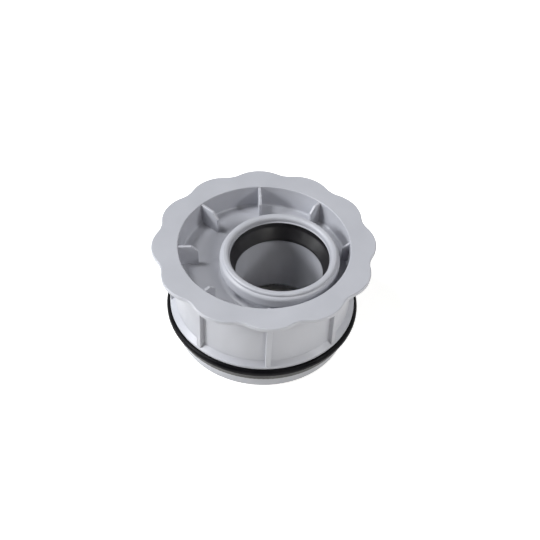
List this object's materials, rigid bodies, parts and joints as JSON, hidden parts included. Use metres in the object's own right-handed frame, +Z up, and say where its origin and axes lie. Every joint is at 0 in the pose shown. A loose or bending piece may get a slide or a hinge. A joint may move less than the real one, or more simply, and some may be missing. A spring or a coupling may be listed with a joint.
{
  "type": "eccentric pipe reducer",
  "caption": "Push-in eccentric drain pipe reducer: scalloped grip flange on a ribbed, ring-sealed spigot, with a rubber-lipped socket for a smaller pipe set to one side",
  "frame": {"origin": "on the spigot's axis, at the spigot's lower end, on which the part stands", "axes": "+Z up along the spigot, out of the flange; +X from the spigot's axis to the socket's axis; +Y completes the right-handed frame"},
  "size_m": [0.1172, 0.1172, 0.061],
  "materials": {
    "grey_plastic": "satin moulded light grey",
    "black_rubber": "matt black with a faint sheen"
  },
  "bodies": {
    "root": {"reducer_body": "grey_plastic", "socket_seal": "black_rubber", "spigot_seal": "black_rubber"}
  },
  "joints": []
}
